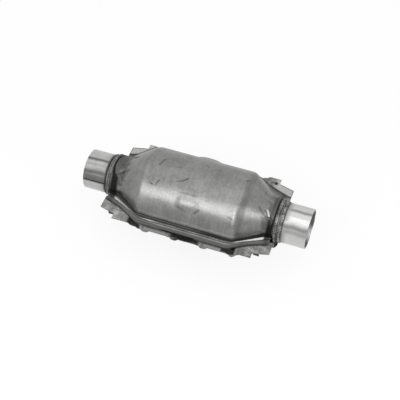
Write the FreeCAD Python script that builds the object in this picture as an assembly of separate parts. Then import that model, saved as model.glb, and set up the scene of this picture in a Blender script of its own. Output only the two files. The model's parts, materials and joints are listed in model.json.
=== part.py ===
import FreeCAD, Part
import os
from math import cos, sin, tan, radians, hypot, atan2, pi

# Catalytic converter with a round stamped body, two stub pipes and a ribbed heat shield.
# X runs along the pipes from the inlet at -X to the outlet at +X, and Z is up.
# Everything is drawn about the pipe axis, halfway along, and lifted to the floor at the end.

overall_length = 330.0
contact_gap = 0.05          # left between curved faces that fit one in the other
lap_gap = 0.1               # left where one sleeve slides over another

# Honeycomb bricks, their mats, seals and spacer
brick_radius = 50.8
brick_length = 60.0
brick_spacing = 14.0        # clear distance between the two bricks
brick_chamfer = 0.8
mat_thickness = 4.1
seal_width = 5.0
seal_lip = 2.4
seal_lip_depth = 4.5
seal_lip_margin = 2.2       # how far the lip stays inside the shell
spacer_wall = 1.5

# Stub pipes
pipe_radius = 57.15 / 2
pipe_wall = 1.5
pipe_setback = 4.0          # from the narrow end of a cone to the pipe's inner end
pilot_relief = 0.4          # how much smaller the pipe is where its collar and bead sit
mouth_chamfer = 0.4
slit_width = 1.8
slit_angle = 162.5          # from +Y over the top towards -Y

# Collars between the pipes and the necks of the shell
collar_wall = 1.7
collar_lap = 7.0
collar_exposed = 6.3

# Weld beads round the pipes
bead_lead = 3.4             # reach along the lower of the two surfaces
bead_lap = 1.8              # reach over the higher one
bead_crown = 0.8

# Stamped shells
shell_wall = 1.4
cone_length = 37.0
shoulder_round = 13.0
neck_round = 9.0
inlet_neck_length = 16.5
outlet_neck_length = 12.5
root_round = 2.0

# Flanges: how far each stands out, and where its outline turns
narrow_ledge = 4.8
narrow_setback = 6.0        # from the end of the round body to the narrow outline's corner
narrow_neck_ledge = 3.0
wide_ledge = 14.6
wide_setback = 5.0
wide_hip_reach = 24.0       # from the end of the round body to the turn beside the cone
wide_hip_ledge = 13.3
wide_neck_ledge = 11.6
flange_corner_round = 9.0
flange_end_gap = 2.5        # bare neck left for the weld bead

# Flat pads pressed out of the upper shell between the bricks
pad_tilt = 54.0             # of the tangent they leave the round body along
pad_centre = 2.0
pad_length = 19.0
pad_width = 18.5            # from that tangent down to the ridge
pad_sink = 0.05             # the flat's level, a little inside the tangent plane
pad_depth = 14.0            # how deep the sloping sides are followed into the body
pad_end_run = 45.0          # how far they reach along the body over that depth
pad_side_run = 17.5         # and round it

# Heat shield, one pressed sheet
sheet = 1.0
shield_gap = 5.1
wall_tilt = 9.5             # the pan's side walls and slanted faces, from upright
slant_tilt = 46.0
rim_bend = 3.6
wall_bend = 14.0
floor_bend = 12.0
lip_overhang = 2.0          # past the wide flange
lip_drop = 4.2
inlet_droop_reach = 1.0     # from the end of the round body to where the lip stops drooping
outlet_droop_reach = 8.0
droop_ramp = 7.0
rib_setback = 11.0
rib_pitch = 43.7
rib_count = 4
rib_height = 2.5
rib_flat = 6.0
rib_ramp = 3.5
bow_drop = 4.0              # extra drop of the bowed stretch between the two middle ribs
step_reach = 30.7           # from the end of the round body to the step in the corner plates
step_depth = 8.0
step_taper = 5.7
end_reach = 53.0
lug_length = 8.0
lug_drop = 5.0
lug_inset = 3.2
plate_hole_radius = 2.3
plate_hole_setback = 5.3
plate_hole_inset = 9.0
spot_radius = 2.0
spot_height = 0.5
spot_inset = 2.7
spot_reaches = (33.0, 43.0)

# Values worked out from the sizes above
half_length = overall_length / 2
shell_inner = brick_radius + contact_gap + mat_thickness + contact_gap
body_radius = shell_inner + shell_wall
pilot_radius = pipe_radius - pilot_relief
collar_inner = pilot_radius + lap_gap
collar_outer = collar_inner + collar_wall
neck_radius = collar_outer + lap_gap + shell_wall
cone_tilt = atan2(body_radius - neck_radius, cone_length)
shoulder_reach = shoulder_round * tan(cone_tilt / 2)
body_half = brick_spacing / 2 + brick_length + shoulder_reach
cone_end = body_half + cone_length
inlet_neck_end = -(cone_end + inlet_neck_length)
outlet_neck_end = cone_end + outlet_neck_length
inlet_collar_end = inlet_neck_end - collar_exposed
outlet_collar_end = outlet_neck_end + collar_exposed
pipe_inner_end = cone_end + pipe_setback
inlet_pilot_end = inlet_collar_end - bead_lead
outlet_pilot_end = outlet_collar_end + bead_lead
narrow_half_width = body_radius + narrow_ledge
wide_half_width = body_radius + wide_ledge
lip_width = wide_half_width + lip_overhang
step_width = lip_width - step_depth
shield_level = -shell_wall - sheet
pan_distance = body_radius + shield_gap + sheet
rib_first = -(body_half - rib_setback)
rib_centres = [rib_first + rib_pitch * i for i in range(rib_count)]
bow_centre = (rib_centres[1] + rib_centres[2]) / 2
bow_reach = rib_pitch / 2 - rib_flat
axis_height = pan_distance + rib_height


def vector(x, y, z):
    return FreeCAD.Vector(x, y, z)


def ramp(value, low, high):
    """0 below low, 1 above high, and straight between."""
    return min(max((value - low) / (high - low), 0.0), 1.0)


def rounded_edges(corners, place, chords=False):
    """Edges of an open path through (a, b, radius) corners, with an arc or two chords at each."""
    edges = []
    start = place(*corners[0][:2])
    for before, here, after in zip(corners, corners[1:], corners[2:]):
        back = (before[0] - here[0], before[1] - here[1])
        ahead = (after[0] - here[0], after[1] - here[1])
        back_length = hypot(*back)
        ahead_length = hypot(*ahead)
        back = (back[0] / back_length, back[1] / back_length)
        ahead = (ahead[0] / ahead_length, ahead[1] / ahead_length)
        cross = back[0] * ahead[1] - back[1] * ahead[0]
        dot = back[0] * ahead[0] + back[1] * ahead[1]
        half_turn = (pi - abs(atan2(cross, dot))) / 2
        reach = here[2] * tan(half_turn)
        middle = (back[0] + ahead[0], back[1] + ahead[1])
        to_middle = here[2] * (1 / cos(half_turn) - 1) / hypot(*middle)
        arc_start = place(here[0] + back[0] * reach, here[1] + back[1] * reach)
        arc_middle = place(here[0] + middle[0] * to_middle, here[1] + middle[1] * to_middle)
        arc_end = place(here[0] + ahead[0] * reach, here[1] + ahead[1] * reach)
        edges.append(Part.LineSegment(start, arc_start).toShape())
        if chords:
            edges.append(Part.LineSegment(arc_start, arc_middle).toShape())
            edges.append(Part.LineSegment(arc_middle, arc_end).toShape())
        else:
            edges.append(Part.Arc(arc_start, arc_middle, arc_end).toShape())
        start = arc_end
    edges.append(Part.LineSegment(start, place(*corners[-1][:2])).toShape())
    return edges


def offset_corners(corners, distance):
    """The same path moved to its left by a distance, with the radii changed to match."""
    directions = []
    for first, second in zip(corners, corners[1:]):
        length = hypot(second[0] - first[0], second[1] - first[1])
        directions.append(((second[0] - first[0]) / length, (second[1] - first[1]) / length))
    moved = []
    for index, (a, b, radius) in enumerate(corners):
        before = directions[max(index - 1, 0)]
        after = directions[min(index, len(directions) - 1)]
        turn = before[0] * after[1] - before[1] * after[0]
        dot = before[0] * after[0] + before[1] * after[1]
        shift_a = -(before[1] + after[1]) / (1 + dot)
        shift_b = (before[0] + after[0]) / (1 + dot)
        if radius:
            radius = radius - distance if turn > 0 else radius + distance
        moved.append((a + shift_a * distance, b + shift_b * distance, radius))
    return moved


def revolved(corners):
    """Solid turned about the pipe axis under a path of (x, radius, rounding) corners."""
    def place(x, radius):
        return vector(x, 0, radius)
    edges = rounded_edges(corners, place)
    first = corners[0][0]
    last = corners[-1][0]
    edges.append(Part.LineSegment(place(*corners[-1][:2]), place(last, 0)).toShape())
    edges.append(Part.LineSegment(place(last, 0), place(first, 0)).toShape())
    edges.append(Part.LineSegment(place(first, 0), place(*corners[0][:2])).toShape())
    face = Part.Face(Part.Wire(edges))
    return face.revolve(vector(0, 0, 0), vector(1, 0, 0), 360)


def ring(x_start, x_end, inner, outer):
    """Plain tube about the pipe axis."""
    length = x_end - x_start
    tube = Part.makeCylinder(outer, length, vector(x_start, 0, 0), vector(1, 0, 0))
    return tube.cut(Part.makeCylinder(inner, length, vector(x_start, 0, 0), vector(1, 0, 0)))


def box_between(low, high):
    return Part.makeBox(high[0] - low[0], high[1] - low[1], high[2] - low[2], vector(*low))


def prism(outline, bottom, top):
    """Flat sheet with a straight-sided outline of (x, y) points."""
    points = [vector(x, y, bottom) for x, y in outline]
    face = Part.Face(Part.makePolygon(points + points[:1]))
    return face.extrude(vector(0, 0, top - bottom))


def shell_profile(clearance):
    """Path along the outside of the body, necks included, moved in by a clearance."""
    corners = [
        (inlet_neck_end, neck_radius, 0),
        (-cone_end, neck_radius, neck_round),
        (-body_half, body_radius, shoulder_round),
        (body_half, body_radius, shoulder_round),
        (cone_end, neck_radius, neck_round),
        (outlet_neck_end, neck_radius, 0),
    ]
    return offset_corners(corners, -clearance)


def shell_radius(x):
    """Outside radius of the body at a station, without the roundings."""
    share = ramp(abs(x), body_half, cone_end)
    return body_radius + (neck_radius - body_radius) * share


def wide_flange_width(x):
    """Half width of the wide flange beside a cone or neck."""
    hip = body_half + wide_hip_reach
    hip_width = shell_radius(hip) + wide_hip_ledge
    share = ramp(abs(x), hip, -inlet_neck_end)
    return hip_width + (neck_radius + wide_neck_ledge - hip_width) * share


def pad_blocks(inset):
    """Two flat-topped blocks that leave the body along a tangent and end lower down in a ridge."""
    top = body_radius - pad_sink - inset
    end_shift = inset * tan(atan2(pad_depth, pad_end_run) / 2)
    side_shift = inset * tan(atan2(pad_depth, pad_side_run) / 2)
    blocks = []
    for side in (-1, 1):
        rings = []
        for share in (1, 0):
            half_x = pad_length / 2 + share * pad_end_run - end_shift
            low_y = side * (pad_width + share * pad_side_run - side_shift)
            points = [vector(pad_centre + x, y, top - share * pad_depth)
                      for x, y in ((-half_x, 0), (half_x, 0), (half_x, low_y), (-half_x, low_y))]
            rings.append(Part.makePolygon(points + points[:1]))
        block = Part.makeLoft(rings, True, True)
        block.rotate(vector(0, 0, 0), vector(1, 0, 0), side * (pad_tilt - 90))
        blocks.append(block)
    return blocks


def flange(half_width, corner, hips, neck_width, bottom, top):
    """Flange sheet of one shell, alike on both sides, with rounded corners."""
    side = [(inlet_neck_end + flange_end_gap, neck_width)]
    side += [(-x, y) for x, y in reversed(hips)]
    side += [(-corner, half_width), (corner, half_width)]
    side += hips
    side += [(outlet_neck_end - flange_end_gap, neck_width)]
    outline = side + [(x, -y) for x, y in reversed(side)]
    plate = prism(outline, bottom, top)
    corners = []
    for edge in plate.Edges:
        low = edge.Vertexes[0].Point
        high = edge.Vertexes[-1].Point
        if hypot(low.x - high.x, low.y - high.y) < 1e-6 and abs(low.y) > neck_width + 1:
            corners.append(edge)
    return plate.makeFillet(flange_corner_round, corners)


def root_edges(shape, level):
    """Edges where the turned faces of the body meet the flange at a level."""
    found = []
    for face in shape.Faces:
        surface = face.Surface
        if not isinstance(surface, (Part.Cylinder, Part.Cone, Part.Toroid)):
            continue
        if abs(surface.Axis.x) < 0.99:
            continue
        for edge in face.Edges:
            ends = (edge.FirstParameter, edge.LastParameter)
            points = [edge.valueAt(at) for at in ends + (sum(ends) / 2,)]
            if all(abs(point.z - level) < 1e-4 for point in points):
                found.append(edge)
    return found


def make_shell(side):
    """One stamped half: side is 1 for the upper shell and -1 for the lower one."""
    size = overall_length
    half_space = box_between((-size, -size, 0), (size, size, size))
    if side < 0:
        half_space.translate(vector(0, 0, -size))
    outer = revolved(shell_profile(0))
    open_ends = shell_profile(shell_wall)
    open_ends[0] = (open_ends[0][0] - 1, open_ends[0][1], 0)
    open_ends[-1] = (open_ends[-1][0] + 1, open_ends[-1][1], 0)
    cavity = revolved(open_ends)
    if side > 0:
        outer = outer.fuse(pad_blocks(0)).removeSplitter()
        cavity = cavity.fuse(pad_blocks(shell_wall))
        neck_width = neck_radius + narrow_neck_ledge
        rim = flange(narrow_half_width, body_half - narrow_setback, [], neck_width, 0, shell_wall)
    else:
        hip = body_half + wide_hip_reach
        neck_width = neck_radius + wide_neck_ledge
        rim = flange(wide_half_width, body_half - wide_setback, [(hip, wide_flange_width(hip))],
                     neck_width, -shell_wall, 0)
    body = outer.common(half_space).fuse(rim).removeSplitter()
    body = body.makeFillet(root_round, root_edges(body, side * shell_wall))
    return body.cut(cavity)


def make_pipe(side):
    """Stub pipe: side is -1 for the inlet, which has a slit, and 1 for the outlet."""
    pilot_end = outlet_pilot_end if side > 0 else -inlet_pilot_end
    pipe = ring(pipe_inner_end, half_length, pipe_radius - pipe_wall, pipe_radius)
    mouth = [edge for edge in pipe.Edges if abs(edge.CenterOfMass.x - half_length) < 1e-6
             and len(edge.Vertexes) == 1]
    pipe = pipe.makeChamfer(mouth_chamfer, mouth)
    pipe = pipe.cut(ring(pipe_inner_end, pilot_end, pilot_radius, pipe_radius + 1))
    if side > 0:
        return pipe
    pipe.rotate(vector(0, 0, 0), vector(0, 0, 1), 180)
    slit = box_between((-half_length - 1, 0, -slit_width / 2),
                       (inlet_pilot_end, pipe_radius + 1, slit_width / 2))
    slit.rotate(vector(0, 0, 0), vector(1, 0, 0), slit_angle)
    return pipe.cut(slit)


def make_collar(neck_end, collar_end):
    inner_end = neck_end - collar_lap if neck_end > 0 else neck_end + collar_lap
    x_start = min(inner_end, collar_end)
    x_end = max(inner_end, collar_end)
    return ring(x_start, x_end, collar_inner, collar_outer)


def make_bead(edge_x, seat, low, high, outward):
    """Weld bead over a sleeve's end: it fills the corner from the low to the high surface."""
    def place(along, radius):
        return vector(edge_x + outward * along, 0, radius)
    section = [
        place(bead_lead, seat),
        place(bead_lead, low),
        place(bead_lead * 0.6, high + bead_crown * 0.4),
        place(bead_lead * 0.2, high + bead_crown),
        place(-bead_lap * 0.6, high + bead_crown * 0.7),
        place(-bead_lap, high),
        place(0, high),
        place(0, seat),
    ]
    outline = [point for index, point in enumerate(section) if point != section[index - 1]]
    face = Part.Face(Part.makePolygon(outline + outline[:1]))
    return face.revolve(vector(0, 0, 0), vector(1, 0, 0), 360)


def brick_span(side):
    """First and last x of one brick: side is -1 for the front one and 1 for the rear."""
    near = brick_spacing / 2
    return sorted((side * near, side * (near + brick_length)))


def make_brick(side):
    x_start, x_end = brick_span(side)
    brick = Part.makeCylinder(brick_radius, x_end - x_start, vector(x_start, 0, 0), vector(1, 0, 0))
    rims = [edge for edge in brick.Edges if len(edge.Vertexes) == 1]
    return brick.makeChamfer(brick_chamfer, rims)


def make_mat(side):
    x_start, x_end = brick_span(side)
    inner = brick_radius + contact_gap
    return ring(x_start + seal_width, x_end - seal_width, inner, inner + mat_thickness)


def make_seal(side, facing):
    """Wire-mesh ring round one end of a brick, with a lip over the brick's face."""
    x_start, x_end = brick_span(side)
    face_x = x_end if facing > 0 else x_start
    inner = brick_radius + contact_gap
    outer = inner + mat_thickness
    band = sorted((face_x, face_x - facing * seal_width))
    lip = sorted((face_x, face_x + facing * seal_lip))
    sleeve = ring(band[0], band[1], inner, outer)
    lip_ring = ring(lip[0], lip[1], brick_radius - seal_lip_depth, outer - seal_lip_margin)
    return sleeve.fuse(lip_ring).removeSplitter()


def make_spacer():
    """Sheet ring that keeps the two inner seals apart."""
    reach = brick_spacing / 2 - seal_lip
    outer = brick_radius + contact_gap + mat_thickness - seal_lip_margin
    return ring(-reach, reach, outer - spacer_wall, outer)


def rib_share(x):
    """1 on the flat of a rib, 0 between ribs."""
    return max(1 - ramp(abs(x - centre), rib_flat / 2, rib_flat / 2 + rib_ramp)
               for centre in rib_centres)


def bow_share(x):
    """1 in the middle of the bowed stretch, 0 at its ends and beyond."""
    return cos(min(abs(x - bow_centre) / bow_reach, 1.0) * pi / 2)


def shield_corners(x):
    """Lower face of the shield at a station, from its -Y edge to its +Y edge."""
    distance = shell_radius(x) + shield_gap + sheet
    tilts = (radians(wall_tilt), radians(slant_tilt), pi / 2)
    droop_end = body_half + (inlet_droop_reach if x < 0 else outlet_droop_reach)
    droop = 1 - ramp(abs(x), droop_end, droop_end + droop_ramp)
    sag = bow_drop * bow_share(x)
    rim_y = (distance + shield_level * sin(tilts[0])) / cos(tilts[0])
    half = [(lip_width, shield_level - (lip_drop + sag / 2) * droop, 0)]
    half.append((rim_y, shield_level - sag, rim_bend))
    for first, second, bend in ((tilts[0], tilts[1], wall_bend), (tilts[1], tilts[2], floor_bend)):
        middle = (first + second) / 2
        reach = distance / cos((second - first) / 2)
        half.append((reach * cos(middle), -reach * sin(middle), bend * distance / pan_distance))
    corners = [(-y, z, radius) for y, z, radius in half] + half[::-1]
    return offset_corners(corners, -rib_height * rib_share(x))


def shield_section(x):
    """Closed outline of the sheet at a station."""
    def place(y, z):
        return vector(x, y, z)
    lower = shield_corners(x)
    upper = offset_corners(lower, sheet)
    edges = rounded_edges(lower, place, chords=True)
    edges.append(Part.LineSegment(place(*lower[-1][:2]), place(*upper[-1][:2])).toShape())
    edges += rounded_edges(upper[::-1], place, chords=True)
    edges.append(Part.LineSegment(place(*upper[0][:2]), place(*lower[0][:2])).toShape())
    return Part.Wire(edges)


def shield_stations():
    """Every x where the shield's section changes."""
    inlet_droop = -(body_half + inlet_droop_reach)
    outlet_droop = body_half + outlet_droop_reach
    stations = [-(body_half + end_reach), -cone_end, inlet_droop - droop_ramp, inlet_droop, -body_half]
    stations += [body_half + end_reach, cone_end, outlet_droop + droop_ramp, outlet_droop, body_half]
    for centre in rib_centres:
        for distance in (rib_flat / 2, rib_flat / 2 + rib_ramp):
            stations += [centre - distance, centre + distance]
    stations += [bow_centre + bow_reach * share for share in (-0.5, 0.0, 0.5)]
    return sorted(stations)


def make_heat_shield():
    """Ribbed pan with drooping side lips and stepped corner plates, pressed from one sheet."""
    pan = Part.makeLoft([shield_section(x) for x in shield_stations()], True, True)
    step = body_half + step_reach
    end = body_half + end_reach
    beyond = end + 1
    taper = step_taper * (beyond - step) / (end - step)
    far_out = lip_width + rib_height + 1
    lowest = shield_level - lip_drop - bow_drop
    for along in (-1, 1):
        for across in (-1, 1):
            notch = [
                (along * step, across * step_width),
                (along * beyond, across * (step_width - taper)),
                (along * beyond, across * far_out),
                (along * step, across * far_out),
            ]
            pan = pan.cut(prism(notch, lowest, 1))
            lug_x = sorted((along * (step + sheet), along * (step + sheet + lug_length)))
            lug_y = sorted((across * (step_width - lug_inset), across * (step_width - lug_inset + sheet)))
            pan = pan.fuse(box_between((lug_x[0], lug_y[0], shield_level - lug_drop),
                                       (lug_x[1], lug_y[1], shield_level + sheet / 2)))
    hole_at = vector(step - plate_hole_setback, lip_width - plate_hole_inset, shield_level - 1)
    hole = Part.makeCylinder(plate_hole_radius, sheet + 2, hole_at)
    return pan.cut(hole).removeSplitter()


def make_spot_welds():
    """Shallow weld nuggets under the corner plates, where the wide flange lies on them."""
    nuggets = []
    for reach in spot_reaches:
        station = body_half + reach
        middle = wide_flange_width(station) - spot_inset
        for along in (-1, 1):
            for across in (-1, 1):
                foot = vector(along * station, across * middle, shield_level)
                nuggets.append(Part.makeCone(spot_radius, spot_radius * 0.6, spot_height,
                                             foot, vector(0, 0, -1)))
    return Part.makeCompound(nuggets)


def build():
    pieces = {
        "upper_shell": make_shell(1),
        "lower_shell": make_shell(-1),
        "inlet_pipe": make_pipe(-1),
        "outlet_pipe": make_pipe(1),
        "inlet_collar": make_collar(inlet_neck_end, inlet_collar_end),
        "outlet_collar": make_collar(outlet_neck_end, outlet_collar_end),
        "inlet_pipe_weld": make_bead(inlet_collar_end, pilot_radius, pipe_radius, collar_outer, -1),
        "outlet_pipe_weld": make_bead(outlet_collar_end, pilot_radius, pipe_radius, collar_outer, 1),
        "inlet_neck_weld": make_bead(inlet_neck_end, collar_outer, collar_outer, neck_radius, -1),
        "outlet_neck_weld": make_bead(outlet_neck_end, collar_outer, collar_outer, neck_radius, 1),
        "front_brick": make_brick(-1),
        "rear_brick": make_brick(1),
        "front_mat": make_mat(-1),
        "rear_mat": make_mat(1),
        "front_brick_inlet_seal": make_seal(-1, -1),
        "front_brick_middle_seal": make_seal(-1, 1),
        "rear_brick_middle_seal": make_seal(1, -1),
        "rear_brick_outlet_seal": make_seal(1, 1),
        "brick_spacer": make_spacer(),
        "heat_shield": make_heat_shield(),
        "shield_spot_welds": make_spot_welds(),
    }
    os.makedirs("parts", exist_ok=True)
    for name, shape in pieces.items():
        shape.translate(vector(0, 0, axis_height))
        shape.exportStep(os.path.join("parts", name + ".step"))
        print(name, "valid" if shape.isValid() else "NOT VALID", len(shape.Solids), "solids",
              round(shape.Volume / 1000, 2), "cm3")


build()
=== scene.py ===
import bpy
import json
import math
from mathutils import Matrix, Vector, noise


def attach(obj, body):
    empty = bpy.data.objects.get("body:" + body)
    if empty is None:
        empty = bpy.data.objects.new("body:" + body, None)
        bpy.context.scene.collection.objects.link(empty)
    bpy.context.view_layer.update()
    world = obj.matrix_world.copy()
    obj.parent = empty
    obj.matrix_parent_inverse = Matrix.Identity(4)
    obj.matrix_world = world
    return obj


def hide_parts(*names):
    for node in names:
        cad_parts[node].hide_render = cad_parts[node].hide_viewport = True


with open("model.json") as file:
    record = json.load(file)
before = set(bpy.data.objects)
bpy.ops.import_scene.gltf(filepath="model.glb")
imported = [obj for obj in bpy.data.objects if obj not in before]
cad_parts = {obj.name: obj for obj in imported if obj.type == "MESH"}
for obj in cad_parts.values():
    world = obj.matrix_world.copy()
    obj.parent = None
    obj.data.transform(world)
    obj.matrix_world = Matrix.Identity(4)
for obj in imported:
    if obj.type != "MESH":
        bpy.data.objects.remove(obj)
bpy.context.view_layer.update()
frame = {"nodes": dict(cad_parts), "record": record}        # CAD nodes and the imported record
print("frame loaded:", len(frame["nodes"]), "nodes")

mm = 0.001
axisHeight = frame["record"]["mounts"][0]["pos_m"][2]      # height of the pipe axis above the floor


# Small helpers for meshes

def deselectAll():
    for thing in bpy.context.selected_objects:
        thing.select_set(False)


def pick(thing):
    deselectAll()
    thing.select_set(True)
    bpy.context.view_layer.objects.active = thing


def applyModifier(thing, kind, **settings):
    modifier = thing.modifiers.new(kind.lower(), kind)
    for key, value in settings.items():
        setattr(modifier, key, value)
    pick(thing)
    bpy.ops.object.modifier_apply(modifier=modifier.name)


def smooth(thing, degrees):
    pick(thing)
    bpy.ops.object.shade_smooth_by_angle(angle=math.radians(degrees))


def thicken(thing, wall):      # the wall lies behind the sheet's faces
    applyModifier(thing, "SOLIDIFY", thickness=wall * mm, offset=-1.0, use_even_offset=False)


def roundEdges(thing, width, degrees):      # only edges that turn by more than the angle
    applyModifier(thing, "BEVEL", width=width * mm, segments=2, limit_method="ANGLE",
                  angle_limit=math.radians(degrees))


def editAll(thing, operator, **settings):      # one edit mode operator on the whole mesh
    pick(thing)
    bpy.ops.object.mode_set(mode="EDIT")
    bpy.ops.mesh.select_all(action="SELECT")
    operator(**settings)
    bpy.ops.object.mode_set(mode="OBJECT")


def addMark(mesh, name, values):      # a value at each vertex, for the materials
    layer = mesh.attributes.new(name, "FLOAT", "POINT")
    layer.data.foreach_set("value", values)


def finishPiece(thing, name, material, slot, *nodes):
    thing.name = name
    thing.data.name = name
    thing.data.materials.clear()
    thing.data.materials.append(material)
    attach(thing, "root")
    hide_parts(*nodes)
    print("piece ready:", name, len(thing.data.polygons), "faces")


def fade(value, low, high):      # 0 at low, 1 at high, soft at both ends
    share = min(max((value - low) / (high - low), 0.0), 1.0)
    return share * share * (3 - 2 * share)


def bump(value, centre, reach):      # 1 at the centre, 0 at the reach
    return 1 - fade(abs(value - centre), 0, reach)


def softMin(first, second, blend):
    gap = max(blend - abs(first - second), 0.0) / blend
    return min(first, second) - gap * gap * blend / 4


def softMax(first, second, blend):
    return -softMin(-first, -second, blend)


def waver(x, y, z, scale, seed=0.0):      # smooth noise between -1 and 1
    return noise.noise(Vector((x / scale + seed * 7.3, y / scale - seed * 3.1, z / scale + seed)))


# A sheet is a grid primitive whose rows and columns are moved onto a form in code.
# place(row, column) gives a point in millimetres about the pipe axis.
# paint(row, column, point) gives the marks of that point, which the materials read.
# dropped(row, column) tells whether the face that starts there is left out.

def wrapSheet(rows, columns, place, paint, dropped):
    deselectAll()
    bpy.ops.mesh.primitive_grid_add(x_subdivisions=rows - 1, y_subdivisions=columns - 1, size=1)
    thing = bpy.context.object
    mesh = thing.data
    marks = {}
    spots = []
    for vertex in mesh.vertices:
        row = round((vertex.co.x + 0.5) * (rows - 1))
        column = round((vertex.co.y + 0.5) * (columns - 1))
        spots.append((row, column))
        point = place(row, column)
        for name, value in paint(row, column, point).items():
            marks.setdefault(name, []).append(value)
        vertex.co = (point[0] * mm, point[1] * mm, axisHeight + point[2] * mm)
    for name, values in marks.items():
        addMark(mesh, name, values)
    doomed = []
    for face in mesh.polygons:
        corners = [spots[index] for index in face.vertices]
        doomed.append(dropped(min(row for row, column in corners), min(column for row, column in corners)))
    pick(thing)
    bpy.ops.object.mode_set(mode="EDIT")
    bpy.ops.mesh.select_mode(type="FACE")
    bpy.ops.mesh.select_all(action="DESELECT")
    bpy.ops.object.mode_set(mode="OBJECT")
    mesh.polygons.foreach_set("select", doomed)
    bpy.ops.object.mode_set(mode="EDIT")
    bpy.ops.mesh.delete(type="FACE")
    bpy.ops.object.mode_set(mode="OBJECT")
    return thing


def spread(*stops):      # rows of a sheet: (place, step before the next place), ..., last place
    rows = []
    for (start, step), following in zip(stops, stops[1:]):
        end = following[0] if isinstance(following, tuple) else following
        count = max(1, round((end - start) / step))
        rows += [start + (end - start) * index / count for index in range(count)]
    rows.append(stops[-1])
    return rows


# Materials

class Number:      # a socket that can be used in sums
    def __init__(self, sheet, socket):
        self.sheet = sheet
        self.socket = socket

    def __add__(self, other):
        return self.sheet.sum("ADD", self, other)

    def __radd__(self, other):
        return self.sheet.sum("ADD", other, self)

    def __sub__(self, other):
        return self.sheet.sum("SUBTRACT", self, other)

    def __rsub__(self, other):
        return self.sheet.sum("SUBTRACT", other, self)

    def __mul__(self, other):
        return self.sheet.sum("MULTIPLY", self, other)

    def __rmul__(self, other):
        return self.sheet.sum("MULTIPLY", other, self)

    def clamp(self):
        return Number(self.sheet, self.sheet.node("ShaderNodeClamp", {}, {"Value": self})["Result"])

    def between(self, low, high):      # 0 at low, 1 at high, soft at both ends
        settings = {"interpolation_type": "SMOOTHSTEP"}
        inputs = {"Value": self, "From Min": low, "From Max": high, "To Min": 0.0, "To Max": 1.0}
        return Number(self.sheet, self.sheet.node("ShaderNodeMapRange", settings, inputs)["Result"])

    def swing(self, strength):      # a noise about 0.5, made to swing about 0
        return (self - 0.5) * strength


class NodeSheet:      # the nodes of a material or of the world
    def __init__(self, owner):
        owner.use_nodes = True
        self.nodes = owner.node_tree.nodes
        self.links = owner.node_tree.links

    def node(self, kind, settings, inputs):
        made = self.nodes.new(kind)
        for key, value in settings.items():
            setattr(made, key, value)
        for key, value in inputs.items():
            self.feed(made.inputs[key], value)
        return made.outputs

    def feed(self, socket, value):
        if isinstance(value, Number):
            value = value.socket
        if isinstance(value, bpy.types.NodeSocket):
            self.links.new(value, socket)
        else:
            socket.default_value = value

    def sum(self, operation, first, second=0.0):
        return Number(self, self.node("ShaderNodeMath", {"operation": operation}, {0: first, 1: second})[0])

    def shownRays(self):      # 1 for a ray that shows the background itself, 0 for one that lights the object
        rays = self.node("ShaderNodeLightPath", {}, {})
        seen = self.sum("MAXIMUM", rays["Is Camera Ray"], rays["Is Glossy Ray"])
        return self.sum("MAXIMUM", seen, rays["Is Transmission Ray"])


class Finish(NodeSheet):      # one material of the object
    def __init__(self, name):
        self.material = bpy.data.materials.new(name)
        super().__init__(self.material)
        self.shader = self.nodes["Principled BSDF"]
        place = self.node("ShaderNodeTexCoord", {}, {})["Object"]
        parts = self.node("ShaderNodeSeparateXYZ", {}, {"Vector": place})
        self.x = Number(self, parts["X"])
        self.y = Number(self, parts["Y"])
        self.z = Number(self, parts["Z"]) - axisHeight

    def mark(self, name):      # a value painted on the mesh
        return Number(self, self.node("ShaderNodeAttribute", {"attribute_name": name}, {})["Fac"])

    def vector(self, x, y, z):
        return self.node("ShaderNodeCombineXYZ", {}, {"X": x, "Y": y, "Z": z})["Vector"]

    def everyWay(self, scale):      # where a pattern is to be alike in all directions
        return self.vector(self.x * scale, self.y * scale, self.z * scale)

    def round(self):      # angle about the pipe axis, and distance from it
        angle = self.sum("ARCTAN2", self.z, self.y)
        distance = self.sum("SQRT", self.y * self.y + self.z * self.z)
        return angle, distance

    def grain(self, vector, detail=3.0, roughness=0.6):      # noise about 0.5
        inputs = {"Vector": vector, "Scale": 1.0, "Detail": detail, "Roughness": roughness}
        return Number(self, self.node("ShaderNodeTexNoise", {}, inputs)["Fac"])

    def cells(self, vector):      # distance to the nearest of scattered points
        inputs = {"Vector": vector, "Scale": 1.0}
        return Number(self, self.node("ShaderNodeTexVoronoi", {}, inputs)["Distance"])

    def finish(self, look, value, rough, metal, height):
        colors = {name: value * share for name, share in zip(("Red", "Green", "Blue"), look["tint"])}
        relief = {"Height": height, "Distance": look["relief"] * mm, "Strength": 1.0}
        links = {"Base Color": self.node("ShaderNodeCombineColor", {}, colors)["Color"], "Roughness": rough,
                 "Metallic": metal, "Normal": self.node("ShaderNodeBump", {}, relief)["Normal"]}
        for name, link in links.items():
            self.feed(self.shader.inputs[name], link)
        return self.material


steelTint = (1.0, 1.0, 0.985)      # steel is a little warmer than grey
markDepth = 0.93      # what a full dark mark takes off a colour


# Stamped shell sheet: streaked round the body, darker on the flanges, darkened at the welds by soot and
# painted shade

shellFinish = {"grey": 0.225, "upperFlange": 0.12, "lowerFlange": 0.105, "tint": steelTint, "rough": 0.36,
               "relief": 0.12}


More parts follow.
